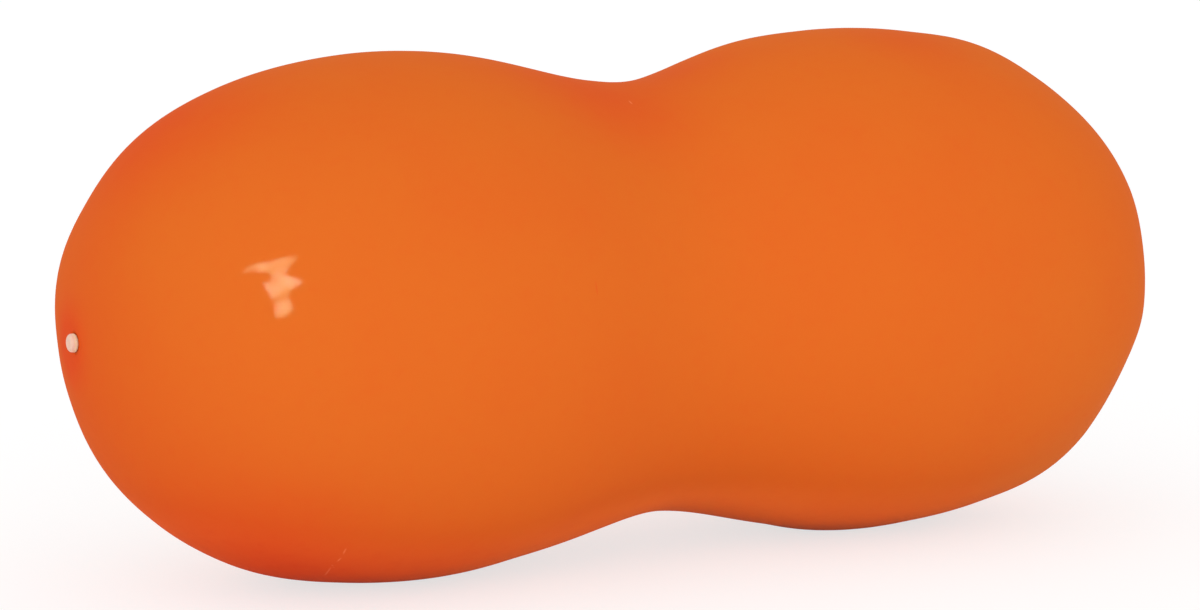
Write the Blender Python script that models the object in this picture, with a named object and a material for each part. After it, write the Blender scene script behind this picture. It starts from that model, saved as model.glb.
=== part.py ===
"""Peanut ball: an inflated vinyl exercise ball with two lobes and a waist between them.

The ball is three pieces. The shell is the blown-up skin, with air inside. The valve seat is a soft
moulding bonded into a hole at one end of the skin. The plug is a stiff stopper pushed into the seat.
All three are turned about the ball's long axis, which lies along X. The ball stands on the plane z = 0,
where its weight presses a flat patch into the underside of each lobe.
"""

import math

import bmesh
import bpy

# Driving dimensions of the skin, in metres
BALL_LENGTH = 1.050
LOBE_DIAMETER = 0.465
WAIST_DIAMETER = 0.391
WAIST_SPREAD = 0.137  # how far the dip at the waist reaches along the ball
END_FULLNESS = 4.46  # a higher power makes blunter ends
SKIN = 0.0013
FLOOR_SAG = 0.0015  # how far the weight flattens the underside

# Driving dimensions of the valve seat, in metres
RECESS_DEPTH = 0.0014
LAND_WIDTH = 0.0013  # the flat ring between the recess and the skin
FLANGE_WIDTH = 0.0075  # how far the flange reaches under the skin
FLANGE_THICKNESS = 0.0022
SLEEVE_WALL = 0.0028
SEAT_ROUNDING = 0.0006
MOUTH_CHAMFER = 0.0005

# Driving dimensions of the plug, in metres
HEAD_RADIUS = 0.0080
HEAD_HEIGHT = 0.0070
HEAD_ROUNDING = 0.0020  # the head's underside, in the recess
CREST_ROUNDING = 0.0034  # the raised ring round the dished face
DISH_DEPTH = 0.0010
DISH_SLOPE = math.radians(30)
STEM_RADIUS = 0.0038
STEM_NECK = 0.0056  # the plain stretch under the head
BARB_HEIGHT = 0.0006
BARB_LENGTH = 0.0036
BARB_SPACING = 0.0058
BARB_COUNT = 3
TIP_TAPER = 0.0030
TIP_SHOWING = 0.0041  # how far the tip stands out of the sleeve
CORE_RADIUS = 0.0018
CORE_FLOOR = 0.0045  # the solid stretch between the head and the hollow core

# Clearances between pieces, in metres
BOND_GAP = 0.0003
PLUG_GAP = 0.0003

# Fineness of the meshes
BALL_SEGMENTS = 48
BALL_RINGS = 36
VALVE_SEGMENTS = 32
PROFILE_SAMPLES = 2000
HALVINGS = 50
TINY = 1e-6
HEAD_STEPS = 6
ROUNDING_STEPS = 3
SHARP_ANGLE = math.radians(35)

# Sizes that follow from the driving ones
HALF_LENGTH = BALL_LENGTH / 2
LOBE_RADIUS = LOBE_DIAMETER / 2
WAIST_RADIUS = WAIST_DIAMETER / 2
AXIS_HEIGHT = LOBE_RADIUS - FLOOR_SAG
BORE_RADIUS = STEM_RADIUS + BARB_HEIGHT + PLUG_GAP
SLEEVE_RADIUS = BORE_RADIUS + SLEEVE_WALL
RECESS_RADIUS = HEAD_RADIUS + PLUG_GAP
NECK_RADIUS = RECESS_RADIUS + SEAT_ROUNDING + LAND_WIDTH
SKIN_HOLE_RADIUS = NECK_RADIUS + BOND_GAP
FLANGE_RADIUS = SKIN_HOLE_RADIUS + FLANGE_WIDTH
STEM_LENGTH = STEM_NECK + BARB_COUNT * BARB_SPACING + TIP_TAPER
HEAD_UNDERSIDE = RECESS_DEPTH - PLUG_GAP
SLEEVE_LENGTH = HEAD_UNDERSIDE + STEM_LENGTH - TIP_SHOWING


def end_dome(along):
    """The share of the full radius that the blunt ends leave at a distance from the waist."""
    return math.sqrt(max(0.0, 1 - abs(along / HALF_LENGTH) ** END_FULLNESS))


def waist_dip(along):
    """The share of the waist's depth that is left at a distance from the waist."""
    return math.exp(-((along / WAIST_SPREAD) ** 2))


def full_radius():
    """The radius before ends and waist are taken off that makes the lobes their stated diameter."""
    found = []
    for step in range(1, PROFILE_SAMPLES):
        along = HALF_LENGTH * step / PROFILE_SAMPLES
        share = end_dome(along) - waist_dip(along)
        if share > 0:
            found.append((LOBE_RADIUS - WAIST_RADIUS * waist_dip(along)) / share)
    return min(found)


FULL_RADIUS = full_radius()


def skin_radius(along):
    """The outer radius of the ball at a distance from the waist."""
    dip = (FULL_RADIUS - WAIST_RADIUS) * waist_dip(along)
    return max(0.0, FULL_RADIUS * end_dome(along) - dip)


def end_curve(radius):
    """How far in from the ball's end the outer skin lies at this small radius."""
    near, far = 0.0, HALF_LENGTH / 4
    for _ in range(HALVINGS):
        middle = (near + far) / 2
        if skin_radius(HALF_LENGTH - middle) < radius:
            near = middle
        else:
            far = middle
    return near


def even_stations(first):
    """Distances from the waist, spaced evenly along the skin from first to the far end."""
    angles = [math.pi * step / PROFILE_SAMPLES for step in range(PROFILE_SAMPLES + 1)]
    fine = [first] + [a for a in (-HALF_LENGTH * math.cos(t) for t in angles) if a > first]
    walked = [0.0]
    for here, there in zip(fine, fine[1:]):
        rise = skin_radius(there) - skin_radius(here)
        walked.append(walked[-1] + math.hypot(there - here, rise))
    stations = []
    nearest = 0
    for ring in range(BALL_RINGS):
        target = walked[-1] * ring / BALL_RINGS
        while walked[nearest] < target:
            nearest += 1
        stations.append(fine[nearest])
    return stations + [HALF_LENGTH]


def outward(along):
    """The direction square to the skin, as (along, radius)."""
    if along > HALF_LENGTH - TINY:
        return 1.0, 0.0
    slope = (skin_radius(along + TINY) - skin_radius(along - TINY)) / (2 * TINY)
    size = math.hypot(slope, 1.0)
    return -slope / size, 1.0 / size


def skin_outlines():
    """The outer and the inner outline of the shell, from the valve's hole to the far end."""
    hole = -HALF_LENGTH + end_curve(SKIN_HOLE_RADIUS)
    stations = [hole] + even_stations(-HALF_LENGTH + end_curve(FLANGE_RADIUS))
    outer = [(along, skin_radius(along)) for along in stations]
    inner = []
    for along, radius in outer:
        lean, out = outward(along)
        inner.append((along - lean * SKIN, max(0.0, radius - out * SKIN)))
    return outer, inner


def arc(centre, radius, start, stop, steps):
    """Points on an arc about centre, as (along, radius). Angles are in degrees, 0 along +X."""
    points = []
    for step in range(steps + 1):
        angle = math.radians(start + (stop - start) * step / steps)
        points.append((centre[0] + radius * math.cos(angle), centre[1] + radius * math.sin(angle)))
    return points


def turn(bm, outline, segments, closed):
    """Turns an outline of (along, radius) points about the X axis, and gives back its new faces."""
    before = set(bm.faces)
    points = [bm.verts.new((along, 0.0, radius)) for along, radius in outline]
    edges = [bm.edges.new(pair) for pair in zip(points, points[1:])]
    if closed:
        edges.append(bm.edges.new((points[-1], points[0])))
    bmesh.ops.spin(
        bm,
        geom=points + edges,
        cent=(0, 0, 0),
        axis=(1, 0, 0),
        angle=2 * math.pi,
        steps=segments,
        use_merge=True,
    )
    on_axis = [v for v in bm.verts if math.hypot(v.co.y, v.co.z) < TINY]
    bmesh.ops.remove_doubles(bm, verts=on_axis, dist=TINY)
    return [face for face in bm.faces if face not in before]


def press_flat(bm, faces, level):
    """Lays the part of these faces that is under the level flat on it, as the floor does."""
    edges = {edge for face in faces for edge in face.edges}
    verts = {vert for face in faces for vert in face.verts}
    others = set(bm.verts) - verts
    bmesh.ops.bisect_plane(
        bm,
        geom=list(faces) + list(edges) + list(verts),
        dist=TINY / 10,
        plane_co=(0, 0, level),
        plane_no=(0, 0, 1),
    )
    for vert in bm.verts:
        if vert not in others and vert.co.z < level:
            vert.co.z = level


def vinyl(name, colour, roughness):
    """A plain glossy plastic."""
    material = bpy.data.materials.new(name)
    material.use_nodes = True
    shader = material.node_tree.nodes["Principled BSDF"]
    shader.inputs["Base Color"].default_value = (*colour, 1.0)
    shader.inputs["Roughness"].default_value = roughness
    shader.inputs["Metallic"].default_value = 0.0
    return material


def finish(name, bm, place, material):
    """Makes the mesh an object at its place on the ball's axis."""
    bmesh.ops.recalc_face_normals(bm, faces=bm.faces)
    mesh = bpy.data.meshes.new(name)
    bm.to_mesh(mesh)
    bm.free()
    mesh.materials.append(material)
    mesh.shade_smooth()
    mesh.set_sharp_from_angle(angle=SHARP_ANGLE)
    made = bpy.data.objects.new(name, mesh)
    made.location = (place, 0.0, AXIS_HEIGHT)
    bpy.context.scene.collection.objects.link(made)
    return made


def make_shell():
    """The inflated skin: an outer and an inner face, joined round the valve's hole."""
    outer, inner = skin_outlines()
    bm = bmesh.new()
    press_flat(bm, turn(bm, outer, BALL_SEGMENTS, False), -AXIS_HEIGHT)
    press_flat(bm, turn(bm, inner, BALL_SEGMENTS, False), -AXIS_HEIGHT + SKIN)
    rims = [edge for edge in bm.edges if edge.is_boundary]
    bmesh.ops.bridge_loops(bm, edges=rims)
    return finish("shell", bm, 0.0, vinyl("orange_vinyl", (0.80, 0.15, 0.018), 0.30))


def seat_outline():
    """The valve seat's closed outline, measured in from the ball's end."""
    neck_face = end_curve(NECK_RADIUS)
    under_skin = SKIN + BOND_GAP
    flange_front = [
        (end_curve(radius) + under_skin, radius)
        for radius in (NECK_RADIUS, (NECK_RADIUS + FLANGE_RADIUS) / 2, FLANGE_RADIUS)
    ]
    flange_back = flange_front[-1][0] + FLANGE_THICKNESS
    lip = RECESS_RADIUS + SEAT_ROUNDING
    points = [(neck_face, NECK_RADIUS)]
    points += flange_front
    points += [(flange_back, FLANGE_RADIUS), (flange_back, SLEEVE_RADIUS)]
    end = SLEEVE_LENGTH
    points += arc((end - SEAT_ROUNDING, SLEEVE_RADIUS - SEAT_ROUNDING), SEAT_ROUNDING, 90, 0, ROUNDING_STEPS)
    points += [(end, BORE_RADIUS + MOUTH_CHAMFER), (end - MOUTH_CHAMFER, BORE_RADIUS)]
    points += [(RECESS_DEPTH + MOUTH_CHAMFER, BORE_RADIUS), (RECESS_DEPTH, BORE_RADIUS + MOUTH_CHAMFER)]
    points += [(RECESS_DEPTH, RECESS_RADIUS)]
    points += arc((SEAT_ROUNDING, lip), SEAT_ROUNDING, 270, 180, ROUNDING_STEPS)
    return points


def make_valve_seat():
    """The soft moulding bonded into the skin, which the plug fills."""
    bm = bmesh.new()
    turn(bm, seat_outline(), VALVE_SEGMENTS, True)
    return finish("valve_seat", bm, -HALF_LENGTH, vinyl("valve_vinyl", (0.76, 0.10, 0.013), 0.40))


def plug_outline():
    """The plug's outline from the middle of its face, round the barbs, to the bottom of its core."""
    crest = HEAD_UNDERSIDE - HEAD_HEIGHT
    ring = (crest + CREST_ROUNDING, HEAD_RADIUS - CREST_ROUNDING)
    slope_top = CREST_ROUNDING * (1 - math.cos(DISH_SLOPE))
    slope_width = (DISH_DEPTH - slope_top) / math.tan(DISH_SLOPE)
    dish_radius = ring[1] - CREST_ROUNDING * math.sin(DISH_SLOPE) - slope_width
    points = [(crest + DISH_DEPTH, 0.0), (crest + DISH_DEPTH, dish_radius)]
    points += arc(ring, CREST_ROUNDING, 180 + math.degrees(DISH_SLOPE), 90, HEAD_STEPS)
    centre = (HEAD_UNDERSIDE - HEAD_ROUNDING, HEAD_RADIUS - HEAD_ROUNDING)
    points += arc(centre, HEAD_ROUNDING, 90, 0, HEAD_STEPS)
    points.append((HEAD_UNDERSIDE, STEM_RADIUS))
    for barb in range(BARB_COUNT):
        start = HEAD_UNDERSIDE + STEM_NECK + barb * BARB_SPACING
        points += [(start, STEM_RADIUS), (start, STEM_RADIUS + BARB_HEIGHT)]
        points.append((start + BARB_LENGTH, STEM_RADIUS))
    tip = HEAD_UNDERSIDE + STEM_LENGTH
    points += [(tip - TIP_TAPER, STEM_RADIUS), (tip, (STEM_RADIUS + CORE_RADIUS) / 2)]
    core_end = HEAD_UNDERSIDE + CORE_FLOOR
    points += [(tip, CORE_RADIUS), (core_end + CORE_RADIUS, CORE_RADIUS), (core_end, 0.0)]
    return points


def make_plug():
    """The stopper, with a rounded head to grip, dished on top, and a barbed, hollow stem."""
    bm = bmesh.new()
    turn(bm, plug_outline(), VALVE_SEGMENTS, False)
    return finish("plug", bm, -HALF_LENGTH, vinyl("milky_polythene", (0.94, 0.72, 0.49), 0.35))


def main():
    for old in list(bpy.data.objects):
        bpy.data.objects.remove(old)
    make_shell()
    make_valve_seat()
    make_plug()


main()
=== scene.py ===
"""Peanut ball: the finished skin, valve moulding and plug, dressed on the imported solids.

The ball lies along X on the plane z = 0, with its valve at the low end of X. All three pieces are
turned about the ball's long axis from the same sizes as the solids, with finer meshes, rounded
edges and procedural finishes. Lengths are in metres.
"""

import math

import bmesh
import bpy
import numpy as np
from bpy.props import FloatProperty, FloatVectorProperty, IntProperty, PointerProperty
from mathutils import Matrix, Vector, noise


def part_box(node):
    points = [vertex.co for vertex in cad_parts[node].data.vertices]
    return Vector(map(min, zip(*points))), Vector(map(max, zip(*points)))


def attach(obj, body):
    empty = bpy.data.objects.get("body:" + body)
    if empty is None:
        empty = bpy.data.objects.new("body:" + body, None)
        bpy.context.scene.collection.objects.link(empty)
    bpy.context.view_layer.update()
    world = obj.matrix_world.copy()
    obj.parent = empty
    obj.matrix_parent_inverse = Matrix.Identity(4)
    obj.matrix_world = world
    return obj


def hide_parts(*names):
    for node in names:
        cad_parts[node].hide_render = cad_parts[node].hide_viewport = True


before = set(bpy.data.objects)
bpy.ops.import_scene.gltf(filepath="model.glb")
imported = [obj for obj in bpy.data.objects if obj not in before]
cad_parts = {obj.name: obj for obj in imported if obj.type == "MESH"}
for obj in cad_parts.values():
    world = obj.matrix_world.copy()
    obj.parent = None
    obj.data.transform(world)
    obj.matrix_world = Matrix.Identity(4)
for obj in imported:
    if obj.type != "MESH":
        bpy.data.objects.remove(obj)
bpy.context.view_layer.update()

bl_info = {
    "name": "Peanut ball",
    "version": (1, 0, 0),
    "blender": (4, 5, 0),
    "location": "3D view > Sidebar > Peanut ball",
    "description": "Builds an inflated vinyl exercise ball with a valve and a plug, and its studio",
    "category": "Add Mesh",
}

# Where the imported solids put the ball
HALF_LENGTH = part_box("shell")[1].x
AXIS_HEIGHT = (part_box("plug")[0].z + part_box("plug")[1].z) / 2

# Clearances: the skin is bonded to the valve moulding, and the plug is only pushed in
BOND_LINE = 0.00003
FLANGE_GAP = 0.0001
PLUG_GAP = 0.0003

# Fineness of the meshes. The fine rings round the valve reach twice as far out as its flange, and
# past END_SHARE of the half length the skin only narrows.
OUTER_RINGS = 176
INNER_RINGS = 60
VALVE_RINGS = 24
VALVE_REACH = 2
PROFILE_SAMPLES = 6000
END_SHARE = 0.9
CORNER_STEPS = 5
TINY = 1e-7
SHARP_ANGLE = math.radians(40)

# Broad soft swellings and dents of the skin, as (x, y, z, reach, height) from the ball's middle
SWELLINGS = (
    (0.453, -0.078, 0.146, 0.16, -0.0042),
    (0.158, -0.032, -0.224, 0.22, -0.0030),
    (-0.067, -0.072, -0.192, 0.09, 0.0040),
    (-0.485, 0.046, -0.121, 0.16, -0.0026),
    (0.462, -0.127, -0.091, 0.07, -0.0034),
    (0.395, -0.101, -0.175, 0.07, 0.0031),
    (0.032, 0.038, 0.194, 0.07, -0.0024),
    (-0.503, 0.087, 0.048, 0.07, 0.0026),
    (-0.418, 0.067, 0.178, 0.22, -0.0013),
    (0.487, -0.127, 0.017, 0.07, -0.0018),
    (-0.102, -0.003, 0.214, 0.12, 0.0013),
    (0.365, -0.018, 0.213, 0.07, 0.0024),
    (0.472, -0.099, 0.107, 0.09, 0.0018),
    (0.139, 0.052, 0.216, 0.07, 0.0019),
    (-0.210, 0.021, 0.231, 0.22, 0.0008),
    (-0.485, 0.046, -0.121, 0.07, 0.0013),
    (-0.359, -0.024, -0.214, 0.07, 0.0011),
    (-0.431, 0.071, 0.168, 0.07, 0.0008),
)

# How far above the floor they are whole
FLOOR_CALM = 0.010

# The skin's small irregularities: broad waves with finer ones on them, both calm near the valve,
# the soft edges of its flat patches and hole, and its rise over the flange's edge, from none to all
WAVE_HEIGHT = 0.00030
WAVES_PER_METRE = 7.0
FINE_WAVE_SHARE = 0.4
FINE_WAVE_RATE = 2.3
VALVE_CALM = (0.020, 0.080)
FLOOR_SOFTNESS = 0.0004
HOLE_ROUNDING = 0.0002
FLANGE_FADE = (0.002, -0.001)

# Where the vinyl is redder, partly thicker vinyl and partly painted shade, as (x, y, z, reach,
# strength) from the ball's middle
TONE_AND_SHADE_PATCHES = (
    (-0.37, -0.08, -0.20, 0.19, 0.76),
    (-0.24, -0.11, -0.20, 0.11, 0.35),
    (-0.45, 0.03, 0.200, 0.18, 0.68),
    (-0.05, -0.06, 0.19, 0.13, 0.62),
    (0.27, -0.05, 0.225, 0.09, 0.35),
    (-0.49, -0.04, -0.11, 0.22, 0.36),
    (-0.53, 0.02, 0.01, 0.16, 0.35),
    (-0.53, 0.015, -0.005, 0.055, 0.70),
    (0.05, 0.01, 0.20, 0.09, 0.40),
)

# Painted shade, duller and browner, low at the plain end, in the same way
PAINTED_SHADE_PATCHES = (
    (0.42, -0.12, -0.17, 0.16, 0.90),
    (0.38, -0.15, -0.12, 0.28, 0.30),
)

# Painted light on the underside, which is painted paler: how far round the ball it starts, as the
# share of the way down to straight below the axis, and how far below the axis it starts, each from
# none of it to all of it
PAINTED_LIGHT_TURN = (0.68, 0.90)
PAINTED_LIGHT_DROP = (0.13, 0.17)

# How much the pigment's clouds and specks deepen the vinyl, and how much its smudges roughen it
CLOUD_DEPTH = 0.14
SPECK_DEPTH = 0.08
SMUDGE_ROUGHNESS = 0.06

# Fine relief, as lumps per metre, their height and their detail: the skin's orange peel and finer
# grain, and the grain of the valve moulding and of the plug
SKIN_PEEL = (260.0, 0.000010, 1.0)
SKIN_GRAIN = (1500.0, 0.000004, 2.0)
MOULDING_GRAIN = (1800.0, 0.000010, 2.0)
PLUG_GRAIN = (2400.0, 0.000008, 2.0)

# Fine marks on the skin, each from one point to another with a width, from the ball's middle
SCUFF_STRENGTH = 0.75
DARK_LINE_STRENGTH = 0.6
PALE_SCUFFS = (
    (Vector((-0.3381, -0.1404, -0.1699)), Vector((-0.3367, -0.1304, -0.1781)), 0.0014),
    (Vector((-0.3361, -0.1264, -0.1811)), Vector((-0.3369, -0.1167, -0.1872)), 0.0014),
    (Vector((-0.3388, -0.1117, -0.1897)), Vector((-0.3326, -0.1050, -0.1952)), 0.0012),
    (Vector((-0.3370, -0.1066, -0.1931)), Vector((-0.3322, -0.0823, -0.2058)), 0.0014),
    (Vector((-0.0258, -0.0634, 0.1865)), Vector((-0.0259, -0.0711, 0.1838)), 0.0014),
    (Vector((-0.0215, -0.0760, 0.1820)), Vector((-0.0180, -0.0770, 0.1818)), 0.0012),
)
DARK_LINE = (Vector((-0.1394, -0.2158, 0.0551)), Vector((-0.1386, -0.2190, 0.0418)), 0.0011)

# The moulding's deeper clouds, as a share of its colour
MOULDING_SHADE = 0.8

# The side of the plug's head is rounded a little less than its ring, so that the two fit
HEAD_SIDE_SHARE = 0.98

# The moulding point in the plug's dished face
GATE_RADIUS = 0.0009
GATE_DEPTH = 0.0002
GATE_ROUNDING = 0.00015

# Where the plug's head is tinted pinkish, partly grime where fingers hold it and partly painted
# shade in its dished face, from none to all, along its axis in heights of its head
GRIME_AND_SHADE_SPAN = (-0.30, -0.52)

# The low lamp, before the ball on the camera's side
FILL_PLACE = Vector((-0.15, -1.30, 0.14))
FILL_SIZE = (2.8, 0.24)

# The floor reaches past every view, and is brightened enough to be white away from the ball
FLOOR_RADIUS = 20.0
FLOOR_GAIN = 1.22

# The gleam's card: the gleam on the skin, the way that the skin mirrors it, the two colours of the
# card's uneven glow, and its corners in metres
GLEAM = Vector((-0.4163, -0.1791, 0.0659))
GLEAM_WAY = Vector((-0.574, -0.693, 0.436))
CARD_DIM = (0.50, 0.70, 0.28, 1.0)
CARD_BRIGHT = (1.35, 1.55, 1.00, 1.0)
CARD_CORNERS = (
    (-0.73, 0.27),
    (-0.50, 0.41),
    (-0.19, 0.47),
    (0.07, 0.57),
    (0.31, 0.61),
    (0.21, 0.40),
    (0.12, 0.22),
    (0.50, 0.09),
    (0.32, -0.04),
    (0.23, -0.22),
    (0.39, -0.47),
    (0.24, -0.64),
    (0.05, -0.64),
    (0.01, -0.34),
    (-0.23, 0.01),
    (-0.06, 0.13),
    (-0.16, 0.25),
    (-0.46, 0.28),
)


class SkinSettings(bpy.types.PropertyGroup):
    length: FloatProperty(
        name="Length",
        description="End to end along the ball's axis",
        default=2 * HALF_LENGTH,
        unit="LENGTH",
    )
    lobe_diameter: FloatProperty(
        name="Lobe diameter",
        description="Across each lobe at its widest",
        default=0.465,
        unit="LENGTH",
    )
    waist_diameter: FloatProperty(
        name="Waist diameter",
        description="Across the middle at its narrowest",
        default=0.391,
        unit="LENGTH",
    )
    waist_spread: FloatProperty(
        name="Waist spread",
        description="How far the dip at the waist reaches along the ball",
        default=0.137,
        unit="LENGTH",
    )
    end_fullness: FloatProperty(
        name="End fullness",
        description="A higher power makes blunter ends",
        default=4.46,
    )
    thickness: FloatProperty(
        name="Skin thickness",
        description="Of the blown-up vinyl",
        default=0.0013,
        unit="LENGTH",
    )
    flange_rise: FloatProperty(
        name="Flange rise",
        description="How far the skin stands up over the valve's flange",
        default=0.00018,
        unit="LENGTH",
    )
    segments: IntProperty(
        name="Segments",
        description="Faces round the ball",
        default=192,
        min=48,
    )
    vinyl: FloatVectorProperty(
        name="Vinyl",
        description="The skin's colour",
        subtype="COLOR",
        size=3,
        default=(0.80, 0.156, 0.018),
    )
    # Also the colour of the painted shade in the redder patches
    deep_and_shade_vinyl: FloatVectorProperty(
        name="Deep vinyl",
        description="The skin's colour where the vinyl is thicker",
        subtype="COLOR",
        size=3,
        default=(0.82, 0.087, 0.0155),
    )
    # The colour of the painted light on the underside
    painted_light_vinyl: FloatVectorProperty(
        name="Underside vinyl",
        description="The skin's colour on its paler underside",
        subtype="COLOR",
        size=3,
        default=(0.98, 0.213, 0.033),
    )
    # The colour of the painted shade low at the plain end
    painted_shade_vinyl: FloatVectorProperty(
        name="Dull vinyl",
        description="The skin's colour where it is duller and browner",
        subtype="COLOR",
        size=3,
        default=(0.78, 0.195, 0.030),
    )
    pale_vinyl: FloatVectorProperty(
        name="Pale vinyl",
        description="The skin's colour where it is scuffed",
        subtype="COLOR",
        size=3,
        default=(0.98, 0.28, 0.10),
    )
    gloss_roughness: FloatProperty(
        name="Roughness",
        description="Of the clean skin",
        default=0.24,
        subtype="FACTOR",
        min=0.0,
        max=1.0,
    )


class ValveSettings(bpy.types.PropertyGroup):
    recess_depth: FloatProperty(
        name="Recess depth",
        description="How deep the plug's head sits",
        default=0.0014,
        unit="LENGTH",
    )
    land_width: FloatProperty(
        name="Land width",
        description="The flat ring between the recess and the skin",
        default=0.0013,
        unit="LENGTH",
    )
    lip_rounding: FloatProperty(
        name="Lip rounding",
        description="Of the recess's edge",
        default=0.0006,
        unit="LENGTH",
    )
    flange_width: FloatProperty(
        name="Flange width",
        description="How far the flange reaches under the skin",
        default=0.0075,
        unit="LENGTH",
    )
    flange_thickness: FloatProperty(
        name="Flange thickness",
        description="Of the flange under the skin",
        default=0.0022,
        unit="LENGTH",
    )
    sleeve_wall: FloatProperty(
        name="Sleeve wall",
        description="Round the bore inside the ball",
        default=0.0028,
        unit="LENGTH",
    )
    sleeve_length: FloatProperty(
        name="Sleeve length",
        description="From the ball's end to the sleeve's end",
        default=0.0230,
        unit="LENGTH",
    )
    segments: IntProperty(
        name="Segments",
        description="Faces round the valve and plug",
        default=96,
        min=32,
    )
    moulding: FloatVectorProperty(
        name="Moulding",
        description="The valve moulding's colour",
        subtype="COLOR",
        size=3,
        default=(0.76, 0.100, 0.012),
    )


class PlugSettings(bpy.types.PropertyGroup):
    head_radius: FloatProperty(
        name="Head radius",
        description="Of the plug's head",
        default=0.0080,
        unit="LENGTH",
    )
    head_height: FloatProperty(
        name="Head height",
        description="From the head's underside to its raised ring",
        default=0.0070,
        unit="LENGTH",
    )
    crest_rounding: FloatProperty(
        name="Ring rounding",
        description="Of the raised ring round the dished face",
        default=0.0034,
        unit="LENGTH",
    )
    dish_depth: FloatProperty(
        name="Dish depth",
        description="Of the face inside the raised ring",
        default=0.0010,
        unit="LENGTH",
    )
    dish_slope: FloatProperty(
        name="Dish slope",
        description="Of the side of the dished face",
        default=math.radians(30),
        subtype="ANGLE",
    )
    under_rounding: FloatProperty(
        name="Underside rounding",
        description="Of the head's edge in its recess",
        default=0.0020,
        unit="LENGTH",
    )
    stem_radius: FloatProperty(
        name="Stem radius",
        description="Between the barbs",
        default=0.0038,
        unit="LENGTH",
    )
    stem_neck: FloatProperty(
        name="Stem neck",
        description="The plain stretch under the head",
        default=0.0056,
        unit="LENGTH",
    )
    barb_height: FloatProperty(
        name="Barb height",
        description="How far each barb stands out of the stem",
        default=0.0006,
        unit="LENGTH",
    )
    barb_length: FloatProperty(
        name="Barb length",
        description="Of each barb's slope",
        default=0.0036,
        unit="LENGTH",
    )
    barb_spacing: FloatProperty(
        name="Barb spacing",
        description="From barb to barb",
        default=0.0058,
        unit="LENGTH",
    )
    barbs: IntProperty(
        name="Barbs",
        description="Along the stem",
        default=3,
        min=1,
    )
    tip_taper: FloatProperty(
        name="Tip taper",
        description="The tapered end of the stem",
        default=0.0030,
        unit="LENGTH",
    )
    core_radius: FloatProperty(
        name="Core radius",
        description="Of the hollow in the stem",
        default=0.0018,
        unit="LENGTH",
    )
    core_floor: FloatProperty(
        name="Core floor",
        description="The solid stretch between the head and the hollow",
        default=0.0045,
        unit="LENGTH",
    )
    polythene: FloatVectorProperty(
        name="Polythene",
        description="The plug's colour",
        subtype="COLOR",
        size=3,
        default=(0.97, 0.79, 0.53),
    )
    # The colour of the head's pinkish tint: partly grime, partly painted shade in the dish
    grime_and_shade: FloatVectorProperty(
        name="Grubby",
        description="The plug's colour where fingers hold it",
        subtype="COLOR",
        size=3,
        default=(0.89, 0.57, 0.45),
    )


class StageSettings(bpy.types.PropertyGroup):
    camera_distance: FloatProperty(
        name="Camera distance",
        description="From the middle of the ball",
        default=3.99,
        unit="LENGTH",
    )
    camera_azimuth: FloatProperty(
        name="Camera azimuth",
        description="Round the ball, 0 looks along +Y",
        default=math.radians(-28.17),
        subtype="ANGLE",
    )
    camera_elevation: FloatProperty(
        name="Camera elevation",
        description="Above the ball's middle",
        default=math.radians(9.02),
        subtype="ANGLE",
    )
    focal_length: FloatProperty(
        name="Focal length",
        description="On a sensor 36 mm wide, in millimetres",
        default=132.51,
    )
    aim_right: FloatProperty(
        name="Aim right",
        description="How far to the right of the ball's middle the camera looks",
        default=-0.01825,
        unit="LENGTH",
    )
    aim_up: FloatProperty(
        name="Aim up",
        description="How far above the ball's middle the camera looks",
        default=-0.00687,
        unit="LENGTH",
    )
    ambient: FloatProperty(
        name="Ambient",
        description="The strength of the even light from all round",
        default=0.756,
        min=0.0,
    )
    front_light: FloatProperty(
        name="Front light",
        description="How much stronger the light is from the front",
        default=0.70,
        min=0.0,
    )
    front_azimuth: FloatProperty(
        name="Front light azimuth",
        description="Where the front light comes from, as the camera's azimuth",
        default=math.radians(-38),
        subtype="ANGLE",
    )
    front_elevation: FloatProperty(
        name="Front light elevation",
        description="Above the horizon",
        default=math.radians(5),
        subtype="ANGLE",
    )
    fill_power: FloatProperty(
        name="Fill power",
        description="Of the low soft lamp that lights the underside, in watts",
        default=1.5,
        min=0.0,
    )
    floor_colour: FloatVectorProperty(
        name="Floor",
        description="The floor's colour",
        subtype="COLOR",
        size=3,
        default=(0.92, 0.92, 0.92),
    )
    floor_lift: FloatProperty(
        name="Floor lift",
        description="How much of the floor's brightness is its own where the camera sees it",
        default=0.70,
        subtype="FACTOR",
        min=0.0,
        max=1.0,
    )
    card_distance: FloatProperty(
        name="Card distance",
        description="From the gleam on the skin to the card that it mirrors",
        default=2.5,
        unit="LENGTH",
    )
    card_glow: FloatProperty(
        name="Card glow",
        description="The brightness of the card in the skin's gloss",
        default=132.0,
        min=0.0,
    )


class Wire:
    """A value on its way between nodes. Python's signs on it add Math nodes."""

    def __init__(self, finish, socket):
        self.finish = finish
        self.socket = socket

    def maths(self, operation, *values):
        return self.finish.node("ShaderNodeMath", {"operation": operation}, dict(enumerate(values)))

    def other(self, name):
        """Another output of the same node."""
        return Wire(self.finish, self.socket.node.outputs[name])

    def __add__(self, value):
        return self.maths("ADD", self, value)

    def __radd__(self, value):
        return self.maths("ADD", value, self)

    def __sub__(self, value):
        return self.maths("SUBTRACT", self, value)

    def __rsub__(self, value):
        return self.maths("SUBTRACT", value, self)

    def __mul__(self, value):
        return self.maths("MULTIPLY", self, value)

    def __rmul__(self, value):
        return self.maths("MULTIPLY", value, self)

    def __truediv__(self, value):
        return self.maths("DIVIDE", self, value)

    def __rtruediv__(self, value):
        return self.maths("DIVIDE", value, self)

    def __pow__(self, value):
        return self.maths("POWER", self, value)

    def __rpow__(self, value):
        return self.maths("POWER", value, self)


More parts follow.
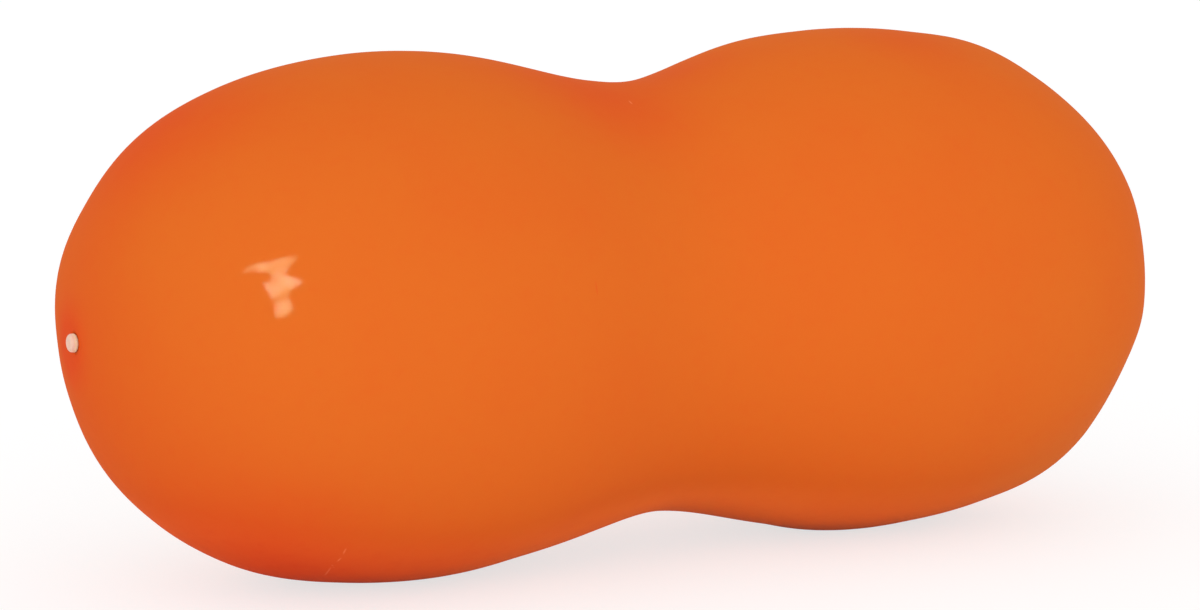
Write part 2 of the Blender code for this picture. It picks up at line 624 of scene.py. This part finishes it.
class Finish:
    """The nodes of one material or of the world."""

    def __init__(self, owner):
        owner.use_nodes = True
        self.owner = owner
        self.tree = owner.node_tree
        self.tree.nodes.clear()

    def node(self, kind, settings=None, sockets=None, output=0):
        """Adds a node: its settings first, then its sockets' values or links."""
        made = self.tree.nodes.new(kind)
        for name, value in (settings or {}).items():
            setattr(made, name, value)
        for name, value in (sockets or {}).items():
            if isinstance(value, Wire):
                self.tree.links.new(value.socket, made.inputs[name])
            else:
                made.inputs[name].default_value = value
        return Wire(self, made.outputs[output]) if made.outputs else made

    def place(self):
        """The point on the piece, measured from the piece's own middle."""
        return self.node("ShaderNodeTexCoord", output="Object")

    def mottle(self, place, per_metre, detail=2.0):
        """Soft uneven patches, from 0 to 1."""
        sockets = {"Vector": place, "Scale": per_metre, "Detail": detail}
        return self.node("ShaderNodeTexNoise", sockets=sockets)

    def fade(self, value, none, full):
        """0 where the value is at none and 1 where it is at full, smooth between them."""
        sockets = {"Value": value, "From Min": none, "From Max": full}
        return self.node("ShaderNodeMapRange", {"interpolation_type": "SMOOTHSTEP"}, sockets)

    def tint(self, mask, first, second):
        """The first colour where the mask is 0 and the second where it is 1."""
        return self.node(
            "ShaderNodeMix", {"data_type": "RGBA"}, {0: mask, 6: first, 7: second}, output=2
        )

    def vector(self, operation, *values, output=0):
        """A Vector Math node."""
        return self.node(
            "ShaderNodeVectorMath", {"operation": operation}, dict(enumerate(values)), output
        )

    def stroke(self, place, start, end, width):
        """1 along a fine line between two points of the piece, and 0 beside it."""
        reach = Vector(end) - Vector(start)
        offset = self.vector("SUBTRACT", place, start)
        share = self.vector("DOT_PRODUCT", offset, reach / reach.length_squared, output="Value")
        share = self.node("ShaderNodeClamp", sockets={"Value": share})
        nearest = self.node(
            "ShaderNodeVectorMath", {"operation": "SCALE"}, {0: reach, "Scale": share}
        )
        away = self.vector("DISTANCE", offset, nearest, output="Value")
        taper = share * (1.0 - share) * 4.0
        return self.fade(away, width, 0.0) * taper

    def patch(self, place, centre, reach):
        """1 at a point of the piece, smoothly down to 0 at the patch's reach from it."""
        away = self.vector("DISTANCE", place, centre, output="Value")
        return self.fade(away, reach, 0.0)

    def relief(self, place, per_metre, height, detail):
        """Fine lumps, as a height in metres."""
        return self.mottle(place, per_metre, detail) * height

    def bump(self, height):
        """A normal tilted by a height in metres."""
        return self.node("ShaderNodeBump", sockets={"Distance": 1.0, "Height": height})

    def surface(self, shader):
        """Ends the nodes with this shader, and gives back the material or world."""
        is_world = isinstance(self.owner, bpy.types.World)
        kind = "ShaderNodeOutputWorld" if is_world else "ShaderNodeOutputMaterial"
        self.node(kind, sockets={"Surface": shader})
        return self.owner


def opaque(colour):
    """The colour with full alpha."""
    return (*colour, 1.0)


def vinyl_finish(skin):
    """Glossy orange vinyl with a faint grain, cloudy pigment, the marks of folding and use, painted
    light on its underside and patches of painted shade.
    """
    finish = Finish(bpy.data.materials.new("orange_vinyl"))
    place = finish.place()

    # The pigment is faintly cloudy, and its redder patches are partly thicker vinyl and partly
    # painted shade
    cloud = finish.fade(finish.mottle(place, 6.0), 0.40, 0.72)
    speck = finish.fade(finish.mottle(place, 90.0, 3.0), 0.45, 0.80)
    depth = cloud * CLOUD_DEPTH + speck * SPECK_DEPTH
    for *centre, reach, strength in TONE_AND_SHADE_PATCHES:
        depth = depth + finish.patch(place, centre, reach) * strength

    # Painted light makes the underside paler, and painted shade makes the plain end duller and
    # browner low down
    across = finish.node("ShaderNodeSeparateXYZ", sockets={0: place}, output="Y")
    drop = 0.0 - across.other("Z")
    turn = drop / (across**2.0 + drop**2.0) ** 0.5
    under = finish.fade(turn, *PAINTED_LIGHT_TURN) * finish.fade(drop, *PAINTED_LIGHT_DROP)
    colour = finish.tint(under, opaque(skin.vinyl), opaque(skin.painted_light_vinyl))
    for *centre, reach, strength in PAINTED_SHADE_PATCHES:
        painted_shade = finish.patch(place, centre, reach) * strength
        colour = finish.tint(painted_shade, colour, opaque(skin.painted_shade_vinyl))
    # The redder patches, partly painted shade, go on last
    colour = finish.tint(depth, colour, opaque(skin.deep_and_shade_vinyl))

    # Fine pale scuffs, broken along their length, and one fine dark line
    broken = finish.fade(finish.mottle(place, 160.0), 0.34, 0.52)
    scuffs = 0.0
    for start, end, width in PALE_SCUFFS:
        scuffs = finish.stroke(place, start, end, width) + scuffs
    colour = finish.tint(scuffs * broken * SCUFF_STRENGTH, colour, opaque(skin.pale_vinyl))
    line = finish.stroke(place, *DARK_LINE)
    colour = finish.tint(line * DARK_LINE_STRENGTH, colour, opaque(skin.deep_and_shade_vinyl))

    relief = finish.relief(place, *SKIN_PEEL) + finish.relief(place, *SKIN_GRAIN)
    smudge = finish.fade(finish.mottle(place, 14.0, 3.0), 0.50, 0.75)
    sockets = {
        "Base Color": colour,
        "Roughness": skin.gloss_roughness + smudge * SMUDGE_ROUGHNESS,
        "Specular IOR Level": 0.0,
        "Coat Weight": 0.035,
        "Coat Roughness": 0.070,
        "Normal": finish.bump(relief),
    }
    return finish.surface(finish.node("ShaderNodeBsdfPrincipled", sockets=sockets))


def moulding_finish(valve):
    """Softer, duller vinyl, a shade deeper than the skin."""
    finish = Finish(bpy.data.materials.new("valve_vinyl"))
    place = finish.place()
    cloud = finish.mottle(place, 300.0)
    deep = tuple(part * MOULDING_SHADE for part in valve.moulding)
    sockets = {
        "Base Color": finish.tint(cloud, opaque(valve.moulding), opaque(deep)),
        "Roughness": 0.38 + cloud * 0.12,
        "Specular IOR Level": 0.0,
        "Coat Weight": 0.04,
        "Coat Roughness": 0.20,
        "Normal": finish.bump(finish.relief(place, *MOULDING_GRAIN)),
    }
    return finish.surface(finish.node("ShaderNodeBsdfPrincipled", sockets=sockets))


def polythene_finish(plug):
    """Milky stiff plastic with a waxy surface, its head's face tinted pinkish, partly grime where
    fingers hold it and partly painted shade in the dish.
    """
    finish = Finish(bpy.data.materials.new("milky_polythene"))
    place = finish.place()
    cloud = finish.mottle(place, 420.0, 3.0)
    along = finish.node("ShaderNodeSeparateXYZ", sockets={0: place}, output="X")
    # The head's face is tinted, partly as grime and partly as painted shade
    grime_and_shade_share = finish.fade(along, *(share * plug.head_height for share in GRIME_AND_SHADE_SPAN))
    grime_and_shade = grime_and_shade_share * (0.65 + cloud * 0.35) + cloud * 0.20
    sockets = {
        "Base Color": finish.tint(grime_and_shade, opaque(plug.polythene), opaque(plug.grime_and_shade)),
        "Roughness": 0.30 + cloud * 0.15,
        "Specular IOR Level": 0.0,
        "Coat Weight": 0.04,
        "Coat Roughness": 0.25,
        "Subsurface Weight": 0.25,
        "Subsurface Radius": (0.9, 0.7, 0.5),
        "Subsurface Scale": 0.002,
        "Normal": finish.bump(finish.relief(place, *PLUG_GRAIN)),
    }
    return finish.surface(finish.node("ShaderNodeBsdfPrincipled", sockets=sockets))


def seen_directly(finish):
    """1 for what the camera sees directly or in a gloss or glass, and 0 for light that falls."""
    ray = finish.node("ShaderNodeLightPath", output="Is Camera Ray")
    seen = ray.maths("MAXIMUM", ray, ray.other("Is Glossy Ray"))
    return seen.maths("MAXIMUM", seen, ray.other("Is Transmission Ray"))


def floor_finish(stage):
    """A white studio floor that lifts what the camera sees of it and keeps a soft shadow."""
    finish = Finish(bpy.data.materials.new("white_floor"))
    plain = finish.node("ShaderNodeBsdfDiffuse", sockets={"Color": opaque(stage.floor_colour)})
    share = (1.0 - stage.floor_lift) * FLOOR_GAIN
    shade = finish.node("ShaderNodeBsdfDiffuse", sockets={"Color": (share, share, share, 1.0)})
    glow = finish.node("ShaderNodeEmission", sockets={"Strength": stage.floor_lift})
    lifted = finish.node("ShaderNodeAddShader", sockets={0: shade, 1: glow})
    seen = seen_directly(finish)
    mixed = finish.node("ShaderNodeMixShader", sockets={0: seen, 1: plain, 2: lifted})
    return finish.surface(mixed)


def direction(azimuth, elevation):
    """The way towards a camera or light. Azimuth 0 is at -Y and looks along +Y."""
    level = math.cos(elevation)
    return Vector((math.sin(azimuth) * level, -math.cos(azimuth) * level, math.sin(elevation)))


def backdrop_finish(stage):
    """Even studio light, stronger from the front, that looks white where it is seen."""
    finish = Finish(bpy.data.worlds.new("white_studio"))
    sky = finish.node("ShaderNodeTexCoord", output="Generated")
    front = direction(stage.front_azimuth, stage.front_elevation)
    facing = finish.vector("DOT_PRODUCT", sky, front, output="Value")
    ahead = facing.maths("MAXIMUM", facing, 0.0)
    light = stage.ambient + ahead**2.0 * stage.front_light
    seen = seen_directly(finish)
    strength = light * (1.0 - seen) + seen
    sockets = {"Color": (1.0, 1.0, 1.0, 1.0), "Strength": strength}
    return finish.surface(finish.node("ShaderNodeBackground", sockets=sockets))


def card_finish(stage):
    """The card's uneven glow."""
    finish = Finish(bpy.data.materials.new("glowing_card"))
    uneven = finish.fade(finish.mottle(finish.place(), 4.2), 0.36, 0.64)
    sockets = {"Color": finish.tint(uneven, CARD_DIM, CARD_BRIGHT), "Strength": stage.card_glow}
    return finish.surface(finish.node("ShaderNodeEmission", sockets=sockets))


class BallOutline:
    """The radius of the skin at each distance along the axis from the waist."""

    def __init__(self, skin):
        self.half = skin.length / 2
        self.waist = skin.waist_diameter / 2
        self.spread = skin.waist_spread
        self.fullness = skin.end_fullness

        # The full radius that makes the lobe's widest ring as wide as it should be
        along = np.linspace(0.0, self.half, PROFILE_SAMPLES)[1:-1]
        share = self.dome(along) - self.dip(along)
        along, share = along[share > 0], share[share > 0]
        lobe = skin.lobe_diameter / 2
        self.full = min((lobe - self.waist * self.dip(along)) / share)

        # Fine stations along the axis, closest together at the ends
        turn = np.linspace(0.0, math.pi, PROFILE_SAMPLES)
        self.fine = -self.half * np.cos(turn)
        self.fine_radius = self.radius(self.fine)

    def dome(self, along):
        """The share of the full radius that the blunt ends leave."""
        return np.sqrt(np.maximum(0.0, 1.0 - np.abs(along / self.half) ** self.fullness))

    def dip(self, along):
        """The share of the waist's dip, 1 at the waist."""
        return np.exp(-((along / self.spread) ** 2))

    def radius(self, along):
        dip = (self.full - self.waist) * self.dip(along)
        return np.maximum(0.0, self.full * self.dome(along) - dip)

    def end_curve(self, radius):
        """How far in from the ball's end the skin lies at a small radius."""
        near = self.fine < -END_SHARE * self.half
        return float(np.interp(radius, self.fine_radius[near], self.fine[near] + self.half))

    def stations(self, first, rings):
        """Distances along the axis, evenly spaced along the skin from first to the plain end."""
        fine = np.concatenate([[first], self.fine[self.fine > first]])
        steps = np.hypot(np.diff(fine), np.diff(self.radius(fine)))
        walked = np.concatenate([[0.0], np.cumsum(steps)])
        return np.interp(np.linspace(0.0, walked[-1], rings + 1), walked, fine)

    def inward(self, along, depth):
        """The point at this depth under the skin, square to it, as (along, radius)."""
        if along > self.half - TINY:
            return self.half - depth, 0.0
        ahead, behind = min(along + TINY, self.half), along - TINY
        slope = (self.radius(ahead) - self.radius(behind)) / (ahead - behind)
        size = math.hypot(slope, 1.0)
        return along + depth * slope / size, max(0.0, float(self.radius(along)) - depth / size)


def neck_radius(valve, plug):
    """Where the valve moulding meets the skin."""
    return plug.head_radius + PLUG_GAP + valve.lip_rounding + valve.land_width


def rounded(corners, closed=False):
    """An outline with each corner, (along, radius, rounding), rounded as it asks."""
    points = []
    for at, (along, radius, rounding) in enumerate(corners):
        corner = Vector((along, radius))
        inner = closed or 0 < at < len(corners) - 1
        if rounding == 0 or not inner:
            points.append(corner)
            continue
        back = Vector(corners[at - 1][:2]) - corner
        ahead = Vector(corners[(at + 1) % len(corners)][:2]) - corner
        half = back.angle(ahead) / 2
        cut = rounding / math.tan(half)
        middle = (back.normalized() + ahead.normalized()).normalized()
        centre = corner + middle * rounding / math.sin(half)
        start = corner + back.normalized() * cut - centre
        stop = corner + ahead.normalized() * cut - centre
        for step in range(CORNER_STEPS + 1):
            points.append(centre + start.slerp(stop, step / CORNER_STEPS) * rounding)
    return points


def turned(bm, outline, segments, closed=False):
    """Turns (along, radius) points about the X axis, and joins the rings with faces."""
    angles = [math.tau * step / segments for step in range(segments)]
    rings = []
    for along, radius in outline:
        if radius < TINY:
            rings.append([bm.verts.new((along, 0.0, 0.0))])
        else:
            ring = [(along, radius * math.sin(a), radius * math.cos(a)) for a in angles]
            rings.append([bm.verts.new(point) for point in ring])
    pairs = list(zip(rings, rings[1:]))
    if closed:
        pairs.append((rings[-1], rings[0]))
    for near, far in pairs:
        for step in range(segments):
            ahead = step + 1
            corners = [near[step % len(near)], far[step % len(far)]]
            corners += [far[ahead % len(far)], near[ahead % len(near)]]
            bm.faces.new(list(dict.fromkeys(corners)))


def finished(name, bm, place, material):
    """Makes the mesh an object on the ball's axis, with its finish."""
    bmesh.ops.recalc_face_normals(bm, faces=bm.faces)
    mesh = bpy.data.meshes.new(name)
    bm.to_mesh(mesh)
    bm.free()
    mesh.materials.append(material)
    mesh.shade_smooth()
    mesh.set_sharp_from_angle(angle=SHARP_ANGLE)
    made = bpy.data.objects.new(name, mesh)
    made.location = (place, 0.0, AXIS_HEIGHT)
    bpy.context.scene.collection.objects.link(made)
    return made


def smooth_step(value, none, full):
    """0 where the value is at none and 1 where it is at full, smooth between them."""
    share = min(1.0, max(0.0, (value - none) / (full - none)))
    return share * share * (3 - 2 * share)


class BALL_OT_skin(bpy.types.Operator):
    """Builds the blown-up skin, with its hole for the valve and its flat patches on the floor"""

    bl_idname = "ball.skin"
    bl_label = "Skin"
    bl_options = {"REGISTER", "UNDO"}

    def corners(self, skin, outline, hole):
        """The skin's outline from the inner face's far end, round the hole, to the outer face's."""
        flange_end = hole + bpy.context.scene.ball_valve.flange_width
        reach = VALVE_REACH * flange_end
        edge = -outline.half + outline.end_curve(hole)
        first = -outline.half + outline.end_curve(reach)
        radii = np.linspace(hole, reach, VALVE_RINGS)[1:-1]
        inner = [-outline.half + outline.end_curve(radius) for radius in radii]
        inner += list(outline.stations(first, INNER_RINGS))
        corners = [(*outline.inward(along, skin.thickness), 0.0) for along in reversed(inner)]
        corners.append((edge + skin.thickness, hole, HOLE_ROUNDING / 2))
        corners.append((edge, hole, HOLE_ROUNDING))
        for radius in np.linspace(hole + 3 * HOLE_ROUNDING, reach, VALVE_RINGS)[:-1]:
            risen = skin.flange_rise * smooth_step(radius - flange_end, *FLANGE_FADE)
            corners.append((-outline.half + outline.end_curve(radius) - risen, radius, 0.0))
        outer = outline.stations(first, OUTER_RINGS)
        corners += [(along, float(outline.radius(along)), 0.0) for along in outer]
        return corners

    def settle(self, bm, outline, skin, inner_count):
        """Makes the skin uneven, and lays it on the floor with soft edges to its flat patches."""
        bmesh.ops.recalc_face_normals(bm, faces=bm.faces)
        bm.normal_update()
        for index, vert in enumerate(bm.verts):
            inner = index < inner_count
            outward = -vert.normal if inner else vert.normal.copy()
            place = vert.co.copy()
            away = (place - Vector((-outline.half, 0.0, 0.0))).length
            calm = smooth_step(away, *VALVE_CALM)
            broad = noise.noise(place * WAVES_PER_METRE)
            fine = noise.noise(place * WAVES_PER_METRE * FINE_WAVE_RATE)
            rise = (broad + FINE_WAVE_SHARE * fine) * WAVE_HEIGHT
            clear = smooth_step(place.z + AXIS_HEIGHT, 0.0, FLOOR_CALM)
            for *centre, reach, height in SWELLINGS:
                share = (place - Vector(centre)).length / reach
                rise += clear * height * max(0.0, 1.0 - share * share) ** 2
            vert.co += outward * rise * calm
            level = -AXIS_HEIGHT + (skin.thickness if inner else 0.0)
            over = vert.co.z - level
            vert.co.z = level + (over + math.hypot(over, FLOOR_SOFTNESS)) / 2

    def execute(self, context):
        skin = context.scene.ball_skin
        valve = context.scene.ball_valve
        outline = BallOutline(skin)
        hole = neck_radius(valve, context.scene.ball_plug) + BOND_LINE
        bm = bmesh.new()
        points = rounded(self.corners(skin, outline, hole))
        turned(bm, points, skin.segments)
        # The inner face's vertices come first: its far end's one, and then its rings
        inner_count = 1 + (INNER_RINGS + VALVE_RINGS - 2) * skin.segments
        self.settle(bm, outline, skin, inner_count)
        made = finished("ball_skin", bm, 0.0, vinyl_finish(skin))
        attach(made, "ball")
        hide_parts("shell")
        return {"FINISHED"}


class BALL_OT_valve_moulding(bpy.types.Operator):
    """Builds the soft moulding bonded into the skin, with its recess, flange and sleeve"""

    bl_idname = "ball.valve_moulding"
    bl_label = "Valve moulding"
    bl_options = {"REGISTER", "UNDO"}

    def execute(self, context):
        scene = context.scene
        skin, valve, plug = scene.ball_skin, scene.ball_valve, scene.ball_plug
        outline = BallOutline(skin)
        neck = neck_radius(valve, plug)
        recess = plug.head_radius + PLUG_GAP
        bore = plug.stem_radius + plug.barb_height + PLUG_GAP
        sleeve = bore + valve.sleeve_wall
        flange = neck + valve.flange_width
        under = skin.thickness + FLANGE_GAP
        back = outline.end_curve(flange) + under + valve.flange_thickness

        # Each corner is (along, radius, rounding), from the moulding's edge at the skin inwards
        corners = [
            (outline.end_curve(neck), neck, 0.00015),
            (outline.end_curve(neck) + under, neck, 0.0002),
            (outline.end_curve(flange) + under, flange, 0.0008),
            (back, flange, 0.0008),
            (back, sleeve, 0.0012),
            (valve.sleeve_length, sleeve, 0.0008),
            (valve.sleeve_length, bore, 0.0006),
            (valve.recess_depth, bore, 0.0005),
            (valve.recess_depth, recess, 0.0004),
            (0.0, recess, valve.lip_rounding),
        ]
        bm = bmesh.new()
        turned(bm, rounded(corners, closed=True), valve.segments, closed=True)
        made = finished("valve_moulding", bm, -outline.half, moulding_finish(valve))
        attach(made, "ball")
        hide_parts("valve_seat")
        return {"FINISHED"}


class BALL_OT_plug(bpy.types.Operator):
    """Builds the stopper, with its dished head and its barbed, hollow stem"""

    bl_idname = "ball.plug"
    bl_label = "Plug"
    bl_options = {"REGISTER", "UNDO"}

    def corners(self, valve, plug):
        """The plug's outline from the middle of its face, round the barbs, to its core's floor."""
        underside = valve.recess_depth - PLUG_GAP
        crest = underside - plug.head_height
        ring = plug.head_radius - plug.crest_rounding
        bend = plug.crest_rounding * math.tan(plug.dish_slope / 2)
        crest_edge = ring - bend
        dish = crest + plug.dish_depth
        dish_radius = crest_edge - plug.dish_depth / math.tan(plug.dish_slope)
        corners = [
            (dish - GATE_DEPTH, 0.0, 0.0),
            (dish - GATE_DEPTH, GATE_RADIUS, GATE_ROUNDING),
            (dish, GATE_RADIUS + GATE_DEPTH, GATE_ROUNDING),
            (dish, dish_radius, 0.0012),
            (crest, crest_edge, plug.crest_rounding),
            (crest, plug.head_radius, plug.crest_rounding * HEAD_SIDE_SHARE),
            (underside, plug.head_radius, plug.under_rounding),
            (underside, plug.stem_radius, 0.0004),
        ]
        for barb in range(plug.barbs):
            start = underside + plug.stem_neck + barb * plug.barb_spacing
            corners.append((start, plug.stem_radius, 0.0001))
            corners.append((start, plug.stem_radius + plug.barb_height, 0.00015))
            corners.append((start + plug.barb_length, plug.stem_radius, 0.0005))
        tip = underside + plug.stem_neck + plug.barbs * plug.barb_spacing + plug.tip_taper
        core_end = underside + plug.core_floor
        corners += [
            (tip - plug.tip_taper, plug.stem_radius, 0.0008),
            (tip, (plug.stem_radius + plug.core_radius) / 2, 0.0003),
            (tip, plug.core_radius, 0.0002),
            (core_end + plug.core_radius, plug.core_radius, 0.0005),
            (core_end, 0.0, 0.0),
        ]
        return corners

    def execute(self, context):
        scene = context.scene
        bm = bmesh.new()
        points = rounded(self.corners(scene.ball_valve, scene.ball_plug))
        turned(bm, points, scene.ball_valve.segments)
        half = scene.ball_skin.length / 2
        made = finished("valve_plug", bm, -half, polythene_finish(scene.ball_plug))
        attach(made, "stopper")
        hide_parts("plug")
        return {"FINISHED"}


class BALL_OT_stage(bpy.types.Operator):
    """Builds the white floor, the soft light, the gleam's card and the camera"""

    bl_idname = "ball.stage"
    bl_label = "Stage"
    bl_options = {"REGISTER", "UNDO"}

    def sheet(self, name, bm, material):
        """Makes the mesh a part of the stage, with its finish."""
        mesh = bpy.data.meshes.new(name)
        bm.to_mesh(mesh)
        bm.free()
        mesh.materials.append(material)
        made = bpy.data.objects.new(name, mesh)
        bpy.context.scene.collection.objects.link(made)
        return made

    def floor(self, stage):
        bm = bmesh.new()
        bmesh.ops.create_circle(bm, cap_ends=True, radius=FLOOR_RADIUS, segments=64)
        self.sheet("floor", bm, floor_finish(stage))

    def card(self, stage):
        """A card that only the skin's gloss sees. It gives the gleam on the valve's lobe."""
        way = GLEAM_WAY.normalized()
        right = Vector((0.0, 0.0, 1.0)).cross(way).normalized()
        up = way.cross(right)
        bm = bmesh.new()
        corners = [right * across + up * above for across, above in CARD_CORNERS]
        whole = bm.faces.new([bm.verts.new(place) for place in corners])
        bmesh.ops.triangulate(bm, faces=[whole])
        made = self.sheet("gleam_card", bm, card_finish(stage))
        made.location = GLEAM + way * stage.card_distance + Vector((0.0, 0.0, AXIS_HEIGHT))
        made.visible_camera = False
        made.visible_diffuse = False
        made.visible_shadow = False

    def fill(self, stage):
        """A low soft lamp in front, like a reflector lying before the ball."""
        lamp = bpy.data.lights.new("low_fill", "AREA")
        lamp.shape = "RECTANGLE"
        lamp.size = FILL_SIZE[0]
        lamp.size_y = FILL_SIZE[1]
        lamp.energy = stage.fill_power
        made = bpy.data.objects.new("low_fill", lamp)
        made.location = FILL_PLACE
        made.rotation_euler = FILL_PLACE.to_track_quat("Z", "Y").to_euler()
        made.visible_glossy = False
        bpy.context.scene.collection.objects.link(made)

    def camera(self, stage):
        back = direction(stage.camera_azimuth, stage.camera_elevation)
        right = Vector((0.0, 0.0, 1.0)).cross(back).normalized()
        up = back.cross(right)
        middle = Vector((0.0, 0.0, AXIS_HEIGHT))
        eye = middle + back * stage.camera_distance
        target = middle + right * stage.aim_right + up * stage.aim_up
        lens = bpy.data.cameras.new("camera")
        lens.sensor_width = 36.0
        lens.lens = stage.focal_length
        lens.clip_end = 100.0
        made = bpy.data.objects.new("camera", lens)
        made.location = eye
        made.rotation_euler = (target - eye).to_track_quat("-Z", "Y").to_euler()
        bpy.context.scene.collection.objects.link(made)
        bpy.context.scene.camera = made

    def execute(self, context):
        stage = context.scene.ball_stage
        self.floor(stage)
        self.card(stage)
        self.fill(stage)
        self.camera(stage)
        context.scene.world = backdrop_finish(stage)
        context.scene.view_settings.view_transform = "Standard"
        return {"FINISHED"}


class BALL_PT_pieces(bpy.types.Panel):
    """Lists the ball's pieces and its stage"""

    bl_label = "Peanut ball"
    bl_idname = "BALL_PT_pieces"
    bl_space_type = "VIEW_3D"
    bl_region_type = "UI"
    bl_category = "Peanut ball"

    def draw(self, context):
        for piece in PIECES:
            self.layout.operator(piece.bl_idname)


SETTINGS = {
    "ball_skin": SkinSettings,
    "ball_valve": ValveSettings,
    "ball_plug": PlugSettings,
    "ball_stage": StageSettings,
}
PIECES = (BALL_OT_skin, BALL_OT_valve_moulding, BALL_OT_plug, BALL_OT_stage)


def register():
    for name, group in SETTINGS.items():
        bpy.utils.register_class(group)
        setattr(bpy.types.Scene, name, PointerProperty(type=group))
    for piece in PIECES:
        bpy.utils.register_class(piece)
    bpy.utils.register_class(BALL_PT_pieces)


def unregister():
    bpy.utils.unregister_class(BALL_PT_pieces)
    for piece in reversed(PIECES):
        bpy.utils.unregister_class(piece)
    for name, group in SETTINGS.items():
        delattr(bpy.types.Scene, name)
        bpy.utils.unregister_class(group)


def main():
    register()
    bpy.ops.ball.skin()
    bpy.ops.ball.valve_moulding()
    bpy.ops.ball.plug()
    bpy.ops.ball.stage()


if __name__ == "__main__":
    main()
